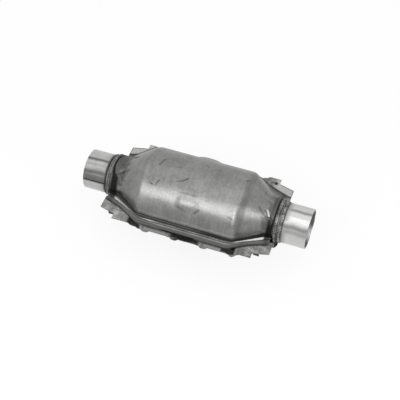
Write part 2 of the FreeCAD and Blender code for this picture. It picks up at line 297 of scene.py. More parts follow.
def makeShellFinish(name, flangeGrey):
    sheet = Finish(name)
    look = shellFinish
    angle, distance = sheet.round()
    soot = sheet.mark("soot")
    flange = sheet.mark("flange")
    dark = sheet.mark("dark")
    light = sheet.mark("light")
    streak = sheet.grain(sheet.vector(sheet.x * 1900, angle * 2.2, distance * 30), 2.0)
    lines = sheet.grain(sheet.vector(sheet.x * 560, angle * 1.6, 7.0), 2.0, 0.7)
    broad = sheet.grain(sheet.vector(sheet.x * 160, angle * 1.3, 4.0), 3.0)
    smudge = sheet.grain(sheet.vector(sheet.x * 26 + 4.0, sheet.y * 26, sheet.z * 26), 4.0, 0.7)
    lowSide = sheet.z.between(0.040, 0.008)
    mottle = sheet.grain(sheet.everyWay(60), 5.0, 0.65)
    speck = sheet.grain(sheet.everyWay(420), 3.0, 0.7)
    hatch = sheet.grain(sheet.vector(sheet.x * 1500 + sheet.y * 500, sheet.y * 60, 2.0), 2.0)
    plain = look["grey"] * (1 + streak.swing(0.25) + broad.swing(0.3) + mottle.swing(0.95))
    plain = plain * (1 + speck.swing(0.75) + lines.swing(0.35 + lowSide * 0.55)
                     - (smudge - 0.62).clamp() * 1.6)
    lip = flangeGrey * (1 + hatch.swing(1.3) + mottle.swing(0.5))
    value = plain * (1 - flange) + lip * flange
    # dark marks are painted shade in creases, corners and gaps, with scratches, darker strokes and stamped
    # dashes; light marks are painted highlights
    value = value * (1 - dark * markDepth) + light * 0.55
    # soot and heat stain round the necks, with painted shade in the grooves at the welds
    darkening = (soot * (0.75 + mottle * 0.6)).between(0.12, 0.85)
    value = (value * (1 - darkening * 0.96) + 0.003).clamp()
    rough = look["rough"] + mottle.swing(0.22) + streak.swing(0.12) + darkening * 0.3 + dark * 0.1 - light * 0.1
    metal = 1 - darkening * 0.2 - flange * (1 - dark) * 0.65      # flanges are duller, but for their dark marks
    height = streak * 0.35 + mottle * 0.5 + speck * 0.25
    return sheet.finish(look, value, rough.clamp(), metal.clamp(), height)


# Drawn tube: bright, with lengthwise bands and fine turned marks; the inside is painted dark as shade, with
# one painted highlight

pipeFinish = {"rough": 0.22, "wallInside": (27.9, 27.3), "glintAngle": 1.17, "tint": (1.0, 1.0, 0.99),
              "relief": 0.06,
              "inlet": {"grey": 0.46, "inside": 0.95, "mottle": 1.0, "bands": 0.6},
              "outlet": {"grey": 0.55, "inside": 0.62, "mottle": 0.45, "bands": 4.1}}


def makePipeFinish(name, end):
    sheet = Finish(name)
    look = pipeFinish
    own = look[end]
    inside = own["inside"]      # how dark the inner wall is painted, as shade inside the tube, but for one painted highlight low on the far side
    clouding = own["mottle"]
    angle, distance = sheet.round()
    dark = sheet.mark("dark")
    band = sheet.grain(sheet.vector(sheet.x * 6, angle * 2.6 + own["bands"], 1.0), 2.0)
    line = sheet.grain(sheet.vector(sheet.x * 25, angle * 45, 3.0), 2.0)
    turned = sheet.grain(sheet.vector(sheet.x * 2600, angle * 1.4, 5.0), 2.0)
    mottle = sheet.grain(sheet.everyWay(120), 4.0, 0.7)
    value = own["grey"] * (1 + band.swing(0.3) + line.swing(0.3) + turned.swing(0.3)
                           + mottle.swing(0.5) * clouding)
    bore, core = look["wallInside"]
    inner = distance.between(bore * mm, core * mm)
    paintedGlint = sheet.sum("ABSOLUTE", angle + look["glintAngle"]).between(0.6, 0.05)
    value = value * (1 - dark * markDepth) * (1 - inner * (inside - paintedGlint * (1 - inside) * 4.0))
    rough = look["rough"] + mottle.swing(0.2) * clouding + turned.swing(0.1) + dark * 0.4 + inner * 0.15
    height = turned * 0.5 + line * 0.3 + mottle * 0.4 * clouding
    return sheet.finish(look, value, rough.clamp(), (1 - dark * 0.15 - inner * 0.6).clamp(), height)


collarFinish = {"grey": 0.165, "tint": steelTint, "rough": 0.36, "relief": 0.1}


def makeCollarFinish(name):
    sheet = Finish(name)
    look = collarFinish
    angle, distance = sheet.round()
    mottle = sheet.grain(sheet.vector(sheet.x * 200, angle * 12, distance * 60), 4.0, 0.7)
    turned = sheet.grain(sheet.vector(sheet.x * 3000, angle * 2, 1.0), 2.0)
    value = look["grey"] + mottle.swing(0.25) + turned.swing(0.05)
    return sheet.finish(look, value.clamp(), look["rough"] + mottle * 0.2, 1.0, mottle + turned * 0.4)


# Weld metal: dark ripples with lighter crests and soot in the low places

# the inlet pipe's bead takes a darker crest grey than the others: painted shade, as that bead lies in shade
weldFinish = {"hollow": 0.014, "inletShadedCrest": 0.05, "inletNeckCrest": 0.27, "outletCrest": 0.36,
              "tint": steelTint, "rough": 0.42, "metal": 0.9, "relief": 0.2}


def makeWeldFinish(name, crestGrey):
    sheet = Finish(name)
    look = weldFinish
    crest = sheet.mark("crest")
    angle, distance = sheet.round()
    mottle = sheet.grain(sheet.vector(sheet.x * 900, angle * 11, distance * 250), 3.0, 0.65)
    value = look["hollow"] + crest * crestGrey * (0.1 + (mottle - 0.33).clamp() * 5.0)
    return sheet.finish(look, value, look["rough"] + mottle * 0.25, look["metal"], mottle)


# Aluminised shield sheet: pale and speckled, with the dark places that the mesh carries: painted shadow and
# shade, a painted hole and darker patches

shieldFinish = {"grey": 0.40, "tint": steelTint, "rough": 0.42, "relief": 0.12}


def makeShieldFinish(name):
    sheet = Finish(name)
    look = shieldFinish
    dark = sheet.mark("dark")
    speck = sheet.grain(sheet.everyWay(700), 3.0, 0.75)
    mottle = sheet.grain(sheet.everyWay(90), 4.0, 0.65)
    spangle = sheet.cells(sheet.everyWay(380))
    rolled = sheet.grain(sheet.vector(sheet.x * 40, sheet.y * 1500, sheet.z * 60), 2.0)
    value = look["grey"] * (1 + speck.swing(0.8) + mottle.swing(0.7) + (spangle - 0.4) * 0.3
                            + rolled.swing(0.15))
    value = value * (1 - dark * markDepth)
    rough = look["rough"] + speck.swing(0.2) + mottle.swing(0.2) + dark * 0.3
    return sheet.finish(look, value, rough.clamp(), 1 - dark * 0.15, speck * 0.5 + mottle)


brickFinish = {"pitch": 1.27, "wallShare": 0.28, "wallSoft": 0.03, "grey": 0.42, "cellGrey": 0.06,
               "tint": (1.0, 0.84, 0.62), "rough": 0.85, "relief": 0.4}


def makeBrickFinish(name):      # square cells with thin walls, the cells painted dark as shade in the channels
    sheet = Finish(name)
    look = brickFinish
    mottle = sheet.grain(sheet.everyWay(90), 4.0, 0.65)
    walls = 0.0
    for place in (sheet.y, sheet.z):
        across = sheet.sum("ABSOLUTE", sheet.sum("FRACT", place * (1 / (look["pitch"] * mm))) - 0.5)
        walls = sheet.sum("MAXIMUM", across, walls)
    edge = 0.5 - look["wallShare"] / 2
    wall = walls.between(edge - look["wallSoft"], edge + look["wallSoft"])
    value = (look["grey"] + mottle.swing(0.25)) * (look["cellGrey"] + wall * (1 - look["cellGrey"]))
    return sheet.finish(look, value, look["rough"], 0.0, wall)


matFinish = {"grey": 0.58, "tint": (1.0, 0.96, 0.86), "rough": 0.95, "relief": 0.4}


def makeMatFinish(name):
    sheet = Finish(name)
    look = matFinish
    angle, distance = sheet.round()
    fibre = sheet.grain(sheet.vector(sheet.x * 1400, angle * 40, distance * 900), 4.0, 0.7)
    flake = sheet.cells(sheet.vector(sheet.x * 500, angle * 28, distance * 500))
    value = look["grey"] + fibre.swing(0.3) + flake.swing(0.12)
    return sheet.finish(look, value, look["rough"], 0.0, fibre + flake * 0.4)


knitFinish = {"grey": 0.24, "tint": (1.0, 0.98, 0.94), "loopsAround": 260, "loopsAlong": 5200, "rough": 0.5,
              "relief": 0.25}


def makeKnitFinish(name):
    sheet = Finish(name)
    look = knitFinish
    angle, distance = sheet.round()
    along = sheet.sum("SINE", angle * look["loopsAround"])
    across = sheet.sum("SINE", sheet.x * look["loopsAlong"] + along * 1.2)
    loops = across * along
    value = look["grey"] + loops * 0.1
    return sheet.finish(look, value.clamp(), look["rough"], 1.0, loops)


finishes = {
    "upperShell": makeShellFinish("upper_shell_steel", shellFinish["upperFlange"]),
    "lowerShell": makeShellFinish("lower_shell_steel", shellFinish["lowerFlange"]),
    "inletPipe": makePipeFinish("inlet_tube_steel", "inlet"),
    "outletPipe": makePipeFinish("outlet_tube_steel", "outlet"),
    "collar": makeCollarFinish("collar_steel_dull"),
    "inletWeld": makeWeldFinish("inlet_weld_metal", weldFinish["inletShadedCrest"]),
    "inletNeckWeld": makeWeldFinish("inlet_neck_weld_metal", weldFinish["inletNeckCrest"]),
    "outletWeld": makeWeldFinish("outlet_weld_metal", weldFinish["outletCrest"]),
    "shield": makeShieldFinish("shield_sheet_aluminised"),
    "brick": makeBrickFinish("brick_washcoat"),
    "mat": makeMatFinish("mat_fibres"),
    "knit": makeKnitFinish("seal_knitted_wire"),
}
print("materials ready:", len(finishes))


# The body's form, shared by both shells: lengths in millimetres about the pipe axis

body = {"radius": 56.4, "neck": 31.475, "half": 70.97, "coneEnd": 107.97, "shoulder": 13.0, "neckRound": 9.0,
        "inletEnd": -124.47, "outletEnd": 120.47, "flangeGap": 2.5, "wall": 1.4, "root": 2.0, "swell": 0.35}
coneTilt = math.atan2(body["radius"] - body["neck"], body["coneEnd"] - body["half"])


def bodyRadius(x):
    reach = abs(x)
    shoulderReach = body["shoulder"] * math.tan(coneTilt / 2)
    neckReach = body["neckRound"] * math.tan(coneTilt / 2)
    if reach < body["half"] - shoulderReach:
        return body["radius"]
    if reach < body["half"] + shoulderReach * math.cos(coneTilt):
        past = reach - (body["half"] - shoulderReach)
        return body["radius"] - body["shoulder"] + math.sqrt(body["shoulder"] ** 2 - past ** 2)
    if reach < body["coneEnd"] - neckReach * math.cos(coneTilt):
        start = body["half"] + shoulderReach * math.cos(coneTilt)
        share = (reach - start) / (body["coneEnd"] - neckReach * math.cos(coneTilt) - start)
        cone = body["radius"] - (reach - body["half"]) * math.tan(coneTilt)
        return cone + body["swell"] * math.sin(math.pi * share)
    if reach < body["coneEnd"] + neckReach:
        left = body["coneEnd"] + neckReach - reach
        return body["neck"] + body["neckRound"] - math.sqrt(body["neckRound"] ** 2 - left ** 2)
    return body["neck"]


# Flat pads pressed out of the upper shell, one on each side: each leaves the round body at a tangent
# high up, and ends lower down in a soft ridge
pads = {"tilt": 54.0, "span": 40.0, "top": 56.35, "endSlope": 14.0 / 45.0, "sideSlope": 14.0 / 17.5,
        "endRound": 6.0,
        "near": {"centre": 0.0, "half": 12.5, "width": 16.8, "soften": 6.0},
        "far": {"centre": 2.0, "half": 9.5, "width": 18.5, "soften": 2.2}}


def padRadius(x, angle):
    pad = pads["near" if angle > math.pi / 2 else "far"]
    below = math.radians(pads["tilt"]) - min(angle, math.pi - angle)      # turn down from the tangent line
    if not 0 < below < math.radians(pads["span"]):
        return 0.0
    slope = math.atan(pads["sideSlope"])
    past = softMax(abs(x - pad["centre"]) - pad["half"], 0.0, pads["endRound"])
    top = pads["top"] - past * pads["endSlope"]
    flat = top / math.cos(below)
    ridge = (pad["width"] * math.sin(slope) + top * math.cos(slope)) / math.cos(below - slope)
    return softMin(flat, ridge, pad["soften"])


def flangeWidth(corners, x):      # half width at a station, from (x, y) corners of one side
    for (x0, y0), (x1, y1) in zip(corners, corners[1:]):
        if x <= x1:
            return y0 + (y1 - y0) * (x - x0) / (x1 - x0)
    return corners[-1][1]


def softWidth(corners, x, reach=4.0):      # the same with its corners rounded
    steps = (-1.0, -0.5, 0.0, 0.5, 1.0)
    low = corners[0][0]
    high = corners[-1][0]
    return sum(flangeWidth(corners, min(max(x + step * reach, low), high)) for step in steps) / len(steps)


shellRows = spread((body["inletEnd"], 0.5), (body["inletEnd"] + body["flangeGap"], 0.9), (-109.0, 1.0),
                   (-102.0, 1.25), (-76.0, 0.8), (-64.0, 1.3), (-20.0, 1.0), (26.0, 1.3), (64.0, 0.8),
                   (76.0, 1.25), (102.0, 1.0), (109.0, 0.9), (body["outletEnd"] - body["flangeGap"], 0.5),
                   body["outletEnd"])
flangeEnds = (body["inletEnd"] + body["flangeGap"], body["outletEnd"] - body["flangeGap"])


# Columns of a shell, from the near flange edge over the body to the far one.
# Each is (zone, share, side): zone 0 is the flange, 1 the rounded root and 2 the body.

def shellColumns(flangeCount, rootCount, bodyCount):
    edge = [(0, index / flangeCount) for index in range(flangeCount)]
    edge += [(1, index / rootCount) for index in range(rootCount)]
    near = [(zone, share, -1) for zone, share in edge]
    far = [(zone, share, 1) for zone, share in edge[::-1]]
    return near + [(2, index / bodyCount, 0) for index in range(bodyCount + 1)] + far


def shellPoint(x, zone, share, side, width, upward, radiusAt):
    root = body["root"]
    level = body["wall"]
    rootY = math.sqrt((bodyRadius(x) + root) ** 2 - (level + root) ** 2)
    rootAngle = math.atan2(level + root, rootY)
    if zone == 0:
        return (x, side * (width + (rootY - width) * share), upward * level)
    if zone == 1:
        turn = (math.pi / 2 - rootAngle) * share
        return (x, side * (rootY - root * math.sin(turn)), upward * (level + root - root * math.cos(turn)))
    angle = math.pi - rootAngle - (math.pi - 2 * rootAngle) * share
    radius = radiusAt(x, angle)
    return (x, radius * math.cos(angle), upward * radius * math.sin(angle))


def makeShell(name, columns, place, paint, finish, node):
    def dropped(row, column):      # no flange beside the ends of the necks
        middle = (shellRows[row] + shellRows[row + 1]) / 2
        beyond = not flangeEnds[0] < middle < flangeEnds[1]
        return beyond and 0 in (columns[column][0], columns[column + 1][0])

    shell = wrapSheet(len(shellRows), len(columns), place, paint, dropped)
    thicken(shell, body["wall"])
    roundEdges(shell, 0.3, 62)
    smooth(shell, 40)
    finishPiece(shell, name, finishes[finish], "shell_steel", node)


# Upper shell

upperFlange = [(body["inletEnd"], 34.475), (-64.97, 61.2), (64.97, 61.2), (body["outletEnd"], 34.475)]
# Each dent pattern is (scale, strength, seed)
upperShell = {"flangeColumns": 9, "rootColumns": 5, "bodyColumns": 132, "edgeWave": 0.35, "dashPitch": 5.6,
              "dashLength": 3.6, "dashReach": (-60.0, 63.0), "dashDepth": 0.3, "padReach": 62.0,
              "padBlend": 1.2, "dentDepth": 0.16, "dents": ((26.0, 0.6, 1.0), (11.0, 0.3, 2.0)),
              "dentReach": (104.0, 112.0)}


def upperRadius(x, angle):
    look = upperShell
    radius = bodyRadius(x)
    if abs(x) < look["padReach"]:
        radius = softMax(radius, padRadius(x, angle), look["padBlend"])
    y = radius * math.cos(angle)
    z = radius * math.sin(angle)
    dent = sum(waver(x, y, z, scale, seed) * strength for scale, strength, seed in look["dents"])
    dent *= look["dentDepth"] * fade(math.sin(angle), 0.06, 0.3)      # none at the flange
    dent *= 1 - fade(abs(x), *look["dentReach"])
    return min(radius + dent, body["radius"] / max(math.sin(angle), 0.5))      # no higher than the top


# Dark strokes: scratches, and darker streaks and patches by the necks: from (x, angle) to (x, angle), half
# width and strength. Angles are in degrees over the top from the near side.
darkStrokes = [
    ((-22.0, 67.0), (-15.0, 70.0), 0.8, 0.5), ((-15.0, 70.0), (-8.0, 75.0), 0.8, 0.75),
    ((-58.0, 56.0), (-53.0, 54.0), 0.8, 0.7), ((-46.0, 63.0), (-49.5, 54.0), 0.7, 0.7),
    ((-50.0, 96.0), (-54.0, 85.0), 1.6, 0.4), ((13.5, 31.0), (18.5, 36.0), 1.6, 0.5),
    ((-12.0, 33.0), (-4.0, 30.5), 1.1, 0.45), ((60.0, 38.0), (66.0, 36.5), 0.8, 0.6),
    ((69.0, 98.0), (72.0, 101.0), 1.6, 0.45), ((-30.0, 88.0), (-24.0, 90.0), 1.0, 0.3),
    ((8.0, 108.0), (12.0, 105.0), 1.4, 0.35), ((94.0, 68.0), (113.0, 41.0), 1.0, 0.55),
    ((103.0, 66.0), (116.0, 48.0), 0.9, 0.7), ((100.0, 50.0), (112.0, 34.0), 1.2, 0.3),
    ((104.0, 48.0), (107.0, 22.0), 3.2, 0.5), ((111.5, 46.0), (113.5, 22.0), 3.2, 0.6),
    ((-114.0, 55.0), (-97.0, 71.0), 2.0, 0.4), ((-112.0, 84.0), (-99.0, 88.0), 1.6, 0.4),
    ((-103.0, 114.0), (-95.0, 104.0), 2.6, 0.4)]

# Painted highlights: bright streaks, in the same terms
paintedGlints = [((105.5, 69.0), (109.5, 56.0), 1.0, 0.8), ((69.8, 55.0), (67.8, 30.0), 2.0, 0.22),
          ((-111.0, 66.0), (-107.0, 72.0), 1.6, 0.16)]


def strokeShare(strokes, x, degrees):      # the strength on a stroke, 0 beside it
    most = 0.0
    across = body["radius"] * math.pi / 180
    here = Vector((x, degrees * across))
    for first, last, width, strength in strokes:
        start = Vector((first[0], first[1] * across))
        along = Vector((last[0], last[1] * across)) - start
        share = min(max((here - start).dot(along) / along.length_squared, 0.0), 1.0)
        gap = (here - start - along * share).length
        most = max(most, (1 - fade(gap, width * 0.3, width * 1.7)) * strength)
    return most


# Soot and heat stain round a neck, with painted shade in the groove at the weld: how far they reach from the
# weld, on top and low on the sides
sootReach = {"inlet": (30.0, 17.0), "outlet": (22.0, 21.0), "farthest": 45.0}


def neckSootAndShade(x, y, z):
    inlet = x < 0
    past = x - body["inletEnd"] if inlet else body["outletEnd"] - x
    if past > sootReach["farthest"]:
        return 0.0
    onTop, onSide = sootReach["inlet" if inlet else "outlet"]
    low = 1 - fade(abs(z), 4, 26)
    reach = onTop + (onSide - onTop) * low
    turn = math.atan2(z, y)
    ragged = waver(math.cos(turn) * 9, math.sin(turn) * 9, past * 0.05, 1.6, 21.0) * 3.5
    ragged += waver(x, y, z, 5, 27.0) * 5
    soot = (1 - fade(past + ragged, reach - 15, reach + 2)) * (0.5 + 0.1 * low)
    if inlet:      # the groove at the weld is painted shade, wider towards the flange
        side = min(max((31.5 - abs(z)) / 8, 0.0), 1.0)
        soot = max(soot, bump(past, 2.8 + 3.8 * side + 1.2 * low, 2.4 + 3.8 * side + 3.0 * low))
        soot = max(soot, bump(past, 3.0 + 6.0 * side, 3.0 + 6.5 * side) * 0.97 * side)
    else:
        # a dark band at the weld, painted shade that widens low on the sides, and soot beyond it
        soot = max(soot, bump(past, 3.0 + 3.0 * low, 2.6 + 4.5 * low))
        soot = max(soot, bump(past, 8.0, 7.0) * (0.56 + 0.4 * low))
    streak = max(waver(math.cos(turn) * 30, math.sin(turn) * 30, past * 0.12, 2.6, 22.0) - 0.1, 0.0)
    soot = max(soot, streak * 1.2 * (1 - fade(past, reach - 2, reach + 12)))
    return min(soot, 1.0)


def makeUpperShell():
    look = upperShell
    columns = shellColumns(look["flangeColumns"], look["rootColumns"], look["bodyColumns"])
    low, high = look["dashReach"]
    half = look["dashLength"] / look["dashPitch"] / 2      # of a dash, as a share of the pitch

    def place(row, column):
        x = shellRows[row]
        zone, share, side = columns[column]
        width = softWidth(upperFlange, x) + waver(x, side * 40, 3, 9, 3.0) * look["edgeWave"]
        x, y, z = shellPoint(x, zone, share, side, width, 1, upperRadius)
        if zone == 0:      # stamped dashes, and a ripple from the press
            dash = bump((x / look["dashPitch"]) % 1.0, 0.5, half + 0.1) * bump(share, 0.72, 0.25)
            dash *= fade(x, low, low + 3) * (1 - fade(x, high - 3, high))
            z += min(waver(x, y, 0, 5, 4.0) * 0.12, 0.0) - look["dashDepth"] * dash
        return (x, y, z)

    def flangeMarks(x, share, side):
        straight = 1 - fade(abs(x), 60, 72)
        dashed = bump((x / look["dashPitch"]) % 1.0, 0.5, 0.42) * bump(share, 0.62, 0.34) * straight
        # dark: the stamped dashes, and painted shade towards the root; light: a painted highlight along the
        # flange's edge
        dark = max(dashed * 0.95, fade(share, 0.6, 0.88) * 0.9)
        highlightVariation = max(waver(x, side * 9, 0, 16, 5.0) + 0.35, 0.0)
        strength = 0.12 + 0.35 * highlightVariation + 0.9 * bump(x, -50, 17) + 0.45 * (1 - fade(x, -92, -80))
        strength += 2.4 * fade(x, 70, 78) * (side < 0)      # the painted highlight is brightest on the near slant by the outlet
        middle = 0.08 + 0.26 * fade(x, 70, 84)
        return dark, bump(share, middle, 0.28 + 0.2 * (1 - straight)) * min(strength, 2.2)

    def bodyMarks(x, y, z):
        onCone = fade(abs(x), 68, 78)
        dark = (1 - fade(z, 2.6, 4.6 + 3.0 * onCone)) * (0.75 + 0.2 * onCone)      # painted shade in the corner at the flange
        # a little painted shade low on the body
        dark = max(dark, bump(z, 18, 12) * 0.08)
        if x > 0:      # painted shade beside the outlet shoulder
            dark = max(dark, bump(x, 75.5, 7.5) * (0.36 - 0.14 * fade(z, 44, 52)))
        light = bump(abs(x), 69.5, 2.6) * 0.05 * fade(-y, -10, 20)      # painted highlight on the shoulders' crests
        # a painted highlight low on the near side, above the flange
        light = max(light, bump(z, 8.0, 4.6) * 0.42 * (1 - fade(abs(x), 70, 84)) * (y < 0))
        turn = math.degrees(math.atan2(z, -y))
        # painted highlights from the list of glints
        paintedGlint = strokeShare(paintedGlints, x, turn)
        return max(dark, strokeShare(darkStrokes, x, turn)) * (1 - paintedGlint), max(light, paintedGlint)

    def paint(row, column, point):
        zone, share, side = columns[column]
        flange = (1.0, 0.4 * (1 - share), 0.0)[zone]
        soot = neckSootAndShade(*point)
        if zone == 0:
            dark, light = flangeMarks(point[0], share, side)
        elif zone == 1:
            # painted shade in the rounded root
            dark, light = 0.78 + 0.2 * fade(point[0], 10, 40), 0.0
        else:
            dark, light = bodyMarks(*point)
            soot *= 1 - min(light * 1.3, 1.0)
        return {"soot": soot, "flange": flange, "dark": min(dark, 1.0), "light": light}

    makeShell("upper_half_shell", columns, place, paint, "upperShell", "upper_shell")


# Lower shell

lowerFlange = [(body["inletEnd"], 43.1), (-94.97, 53.53), (-65.97, 71.0), (65.97, 71.0), (94.97, 53.53),
               (body["outletEnd"], 44.0)]
lowerShell = {"flangeColumns": 14, "rootColumns": 4, "bodyColumns": 100, "edgeWave": 0.4, "rootDark": 0.5,
              "sootShare": 0.45}


def makeLowerShell():
    look = lowerShell
    columns = shellColumns(look["flangeColumns"], look["rootColumns"], look["bodyColumns"])[::-1]

    def place(row, column):
        x = shellRows[row]
        zone, share, side = columns[column]
        width = softWidth(lowerFlange, x) + waver(x, side * 40, 8, 7, 6.0) * look["edgeWave"]
        return shellPoint(x, zone, share, side, width, -1, lambda station, angle: bodyRadius(station))

    def flangeMarks(x, y, side):      # painted shadow beside the upper flange and along the edge, a painted highlight between them
        out = abs(y) - softWidth(upperFlange, x)
        wide = softWidth(lowerFlange, x) - softWidth(upperFlange, x)
        middle = fade(x, -34, -22) * (1 - fade(x, 16, 26))
        dark = (1 - fade(out, -0.2, 0.9)) * 0.85
        dark = max(dark, fade(out, wide - 1.8 - middle, wide - 0.5 - middle * 0.6) * (0.7 + 0.3 * middle))
        light = bump(out, 2.1, 1.7) * (0.34 + 0.2 * waver(x, side * 7, 0, 12, 8.0))
        light *= fade(x, -100, -70) * (0.4 + 0.6 * fade(x, -48, -34)) * (1 - 0.6 * fade(x, 66, 76))
        return min(max(dark, 0.0), 1.0), max(light, 0.0)

    def paint(row, column, point):
        zone, share, side = columns[column]
        soot = neckSootAndShade(*point)
        if zone == 0:
            dark, light = flangeMarks(point[0], point[1], side)
            return {"soot": soot * look["sootShare"], "flange": 1.0, "dark": dark, "light": light}
        # the rounded root is painted shade
        return {"soot": soot, "flange": 0.0, "dark": look["rootDark"] if zone == 1 else 0.0, "light": 0.0}

    makeShell("lower_half_shell", columns, place, paint, "lowerShell", "lower_shell")


# Stub pipes. The slit is one face wide, about 0.9 mm, with painted shade along its edges. Rows are (place,
# step) along the pipe. Each dark band is painted shade and reflection: (angle over the top from the near
# side, reach, strength).

pipes = {"radius": 28.575, "wall": 1.5, "around": 200, "slitAngle": 162.5, "slitEnd": -132.4, "slitFaces": 1,
         "mouth": 165.0, "mouthRound": 0.35, "mouthWave": 0.25,
         "inlet": {"side": -1, "weldEdge": 131.8, "heat": 0.25,
                   "rows": ((-165.0, 0.6), (-160.0, 2.0), (-132.4, 2.0), -111.97),
                   "bands": ((44.0, 20.0, 0.82), (83.0, 9.5, 0.78), (66.0, 9.0, 0.25))},
         "outlet": {"side": 1, "weldEdge": 130.17, "heat": 0.42,
                    "rows": ((111.97, 2.0), (130.17, 2.0), (160.0, 0.6), 165.0),
                    "bands": ((43.0, 20.0, 0.72), (31.0, 15.0, 0.48), (93.5, 8.0, 0.58), (128.0, 12.0, 0.2))}}


def makePipe(end):
    look = pipes
    own = look[end]
    side = own["side"]
    slitted = side < 0
    rows = spread(*own["rows"])
    start = math.radians(look["slitAngle"]) + math.pi / look["around"] * look["slitFaces"]

    def place(row, column):
        angle = start - 2 * math.pi * column / look["around"]
        x = rows[row]
        if abs(x) > look["mouth"] - 0.3:      # the rim was cut a little unevenly
            wave = waver(math.cos(angle) * 30, math.sin(angle) * 30, side, 9, 9.0)
            x += side * (wave - 0.6) * look["mouthWave"]
        return (x, look["radius"] * math.cos(angle), look["radius"] * math.sin(angle))

    def paint(row, column, point):
        x, y, z = point
        degrees = math.degrees(math.atan2(z, -y))
        wavering = degrees + 3 * waver(x, side * 9, degrees / 9, 14, 23.0)
        dark = max(bump(wavering, middle, reach) * strength for middle, reach, strength in own["bands"])
        fromWeld = abs(x) - own["weldEdge"]
        dark = max(dark, (1 - fade(fromWeld, 0.2, 2.6)) * 0.85, (1 - fade(fromWeld, 1, 9)) * own["heat"])
        if slitted:      # a band of painted shade above the slit
            dark = max(dark, 0.74 * fade(degrees, 16.5, 18.5) * (1 - fade(degrees, 34, 50)))
        # painted shade along the slit's edges and walls
        if slitted and x < look["slitEnd"] + 1:
            fromSlit = max(min(column - look["slitFaces"], look["around"] - column), 0)
            dark = max(dark, 1.0 - 0.35 * fromSlit)
        return {"dark": dark}

    def dropped(row, column):
        inSlit = (rows[row] + rows[row + 1]) / 2 <= look["slitEnd"] and column < look["slitFaces"]
        return slitted and inSlit

    pipe = wrapSheet(len(rows), look["around"] + 1, place, paint, dropped)
    editAll(pipe, bpy.ops.mesh.remove_doubles, threshold=0.00001)
    thicken(pipe, look["wall"])
    roundEdges(pipe, look["mouthRound"], 60)
    smooth(pipe, 35)
    finishPiece(pipe, end + "_stub_pipe", finishes[end + "Pipe"], "pipe_steel", end + "_pipe")


# Weld beads: a torus primitive wrapped round the corner between two sleeves, with ripples

beads = {"lap": 1.8, "rippleDepth": 0.28, "around": 420, "across": 16, "ring": 30.0, "collar": 29.975}
sleeves = {"pipe": (pipes["radius"], beads["collar"]), "neck": (beads["collar"], body["neck"])}
beadList = [      # end, place, the outer sleeve's edge, lead onto the inner one, crown, ripple pitch, finish
    ("inlet", "pipe", -130.77, 1.2, 0.5, 2.3, "inletWeld"),
    ("outlet", "pipe", 126.77, 3.4, 0.8, 4.4, "outletWeld"),
    ("inlet", "neck", body["inletEnd"], 3.0, 0.7, 2.3, "inletNeckWeld"),
    ("outlet", "neck", body["outletEnd"], 3.4, 0.8, 4.4, "outletWeld")]


def makeBead(end, at, edge, lead, crown, pitch, finish):
    look = beads
    ring = look["ring"]
    lap = look["lap"]
    innerRadius, outerRadius = sleeves[at]
    deselectAll()
    bpy.ops.mesh.primitive_torus_add(major_segments=look["around"], minor_segments=look["across"],
                                     major_radius=1.0, minor_radius=0.25)
    bead = bpy.context.object
    crests = []
    seed = abs(edge) % 7
    outward = math.copysign(1, edge)
    ripples = round(2 * math.pi * outerRadius / pitch)
    for vertex in bead.data.vertices:
        turn = math.atan2(vertex.co.y, vertex.co.x)
        section = math.atan2(vertex.co.z, math.hypot(vertex.co.x, vertex.co.y) - 1.0)
        y = math.cos(turn) * ring
        z = math.sin(turn) * ring
        uneven = 1 + 0.12 * waver(y, z, seed, 8, 1.0)
        along = (lead - lap) / 2 + (lead + lap) / 2 * math.cos(section) * uneven
        along = min(max(along, -lap), lead)
        lift = max(math.sin(section), 0.0) ** 0.8
        phase = ripples * turn / 2 + along * 0.55 * (1 + 0.5 * waver(y, z, 3, 12, seed))
        ripple = abs(math.sin(phase)) ** 0.7
        if math.sin(section) < 0:      # the underside lies in the inner sleeve
            radius = innerRadius - 0.1
        else:
            radius = outerRadius + (innerRadius - outerRadius) * fade(along, -lap * 0.2, lead)
            radius += crown * lift * (0.72 + 0.2 * waver(y, z, 5, 6, seed))
            radius -= look["rippleDepth"] * lift * (1 - ripple)
        vertex.co = ((edge + outward * along) * mm, radius * y / ring * mm,
                     axisHeight + radius * z / ring * mm)
        crests.append(lift * lift * (0.45 + 0.55 * ripple) * (0.65 + 0.6 * waver(y, z, 9, 7, seed + 1)))
    addMark(bead.data, "crest", crests)
    editAll(bead, bpy.ops.mesh.normals_make_consistent, inside=False)
    smooth(bead, 60)
    finishPiece(bead, f"{end}_{at}_bead", finishes[finish], "weld_metal", f"{end}_{at}_weld")


# Heat shield: one pressed sheet, ribbed across, with drooping lips and stepped corner plates

shield = {"level": -2.4, "gap": 6.1, "sheet": 1.0, "lip": 73.0, "wallTilt": 9.5, "slantTilt": 46.0,
          "rimBend": 3.6, "wallBend": 14.0, "floorBend": 12.0, "lipDrop": 4.2, "ribHeight": 2.5,
          "ribFlat": 6.0, "ribRamp": 3.5, "ribSoft": 0.8, "ribs": (-59.97, -16.27, 27.43, 71.13),
          "bowCentre": 5.58, "bowReach": 15.85, "bowDrop": 4.0, "droopEnds": (-71.97, 78.97),
          "droopRamp": 7.0, "step": 101.67, "stepWidth": 65.0, "stepTaper": 5.7, "end": 123.97,
          "holeX": 96.37, "holeY": 64.0, "holeRadius": 2.3, "straights": (16, 8, 8, 8, 8), "bends": 5,
          "plateColumns": 9, "edgeColumns": 14, "blackGaps": ((-80.0, -60.0), (58.0, 79.0)),
          "shadowLine": ((-112.0, 49.6), (-88.0, 75.2)), "shadowReach": 2.6}
shieldRows = spread((-shield["end"], 1.5), (-shield["step"], 1.3), (-80.0, 0.9), (90.0, 1.3),
                    (shield["step"], 1.5), shield["end"])


def panRadius(x):      # the body's radius without its roundings
    share = min(max((abs(x) - body["half"]) / (body["coneEnd"] - body["half"]), 0.0), 1.0)
    return body["radius"] + (body["neck"] - body["radius"]) * share


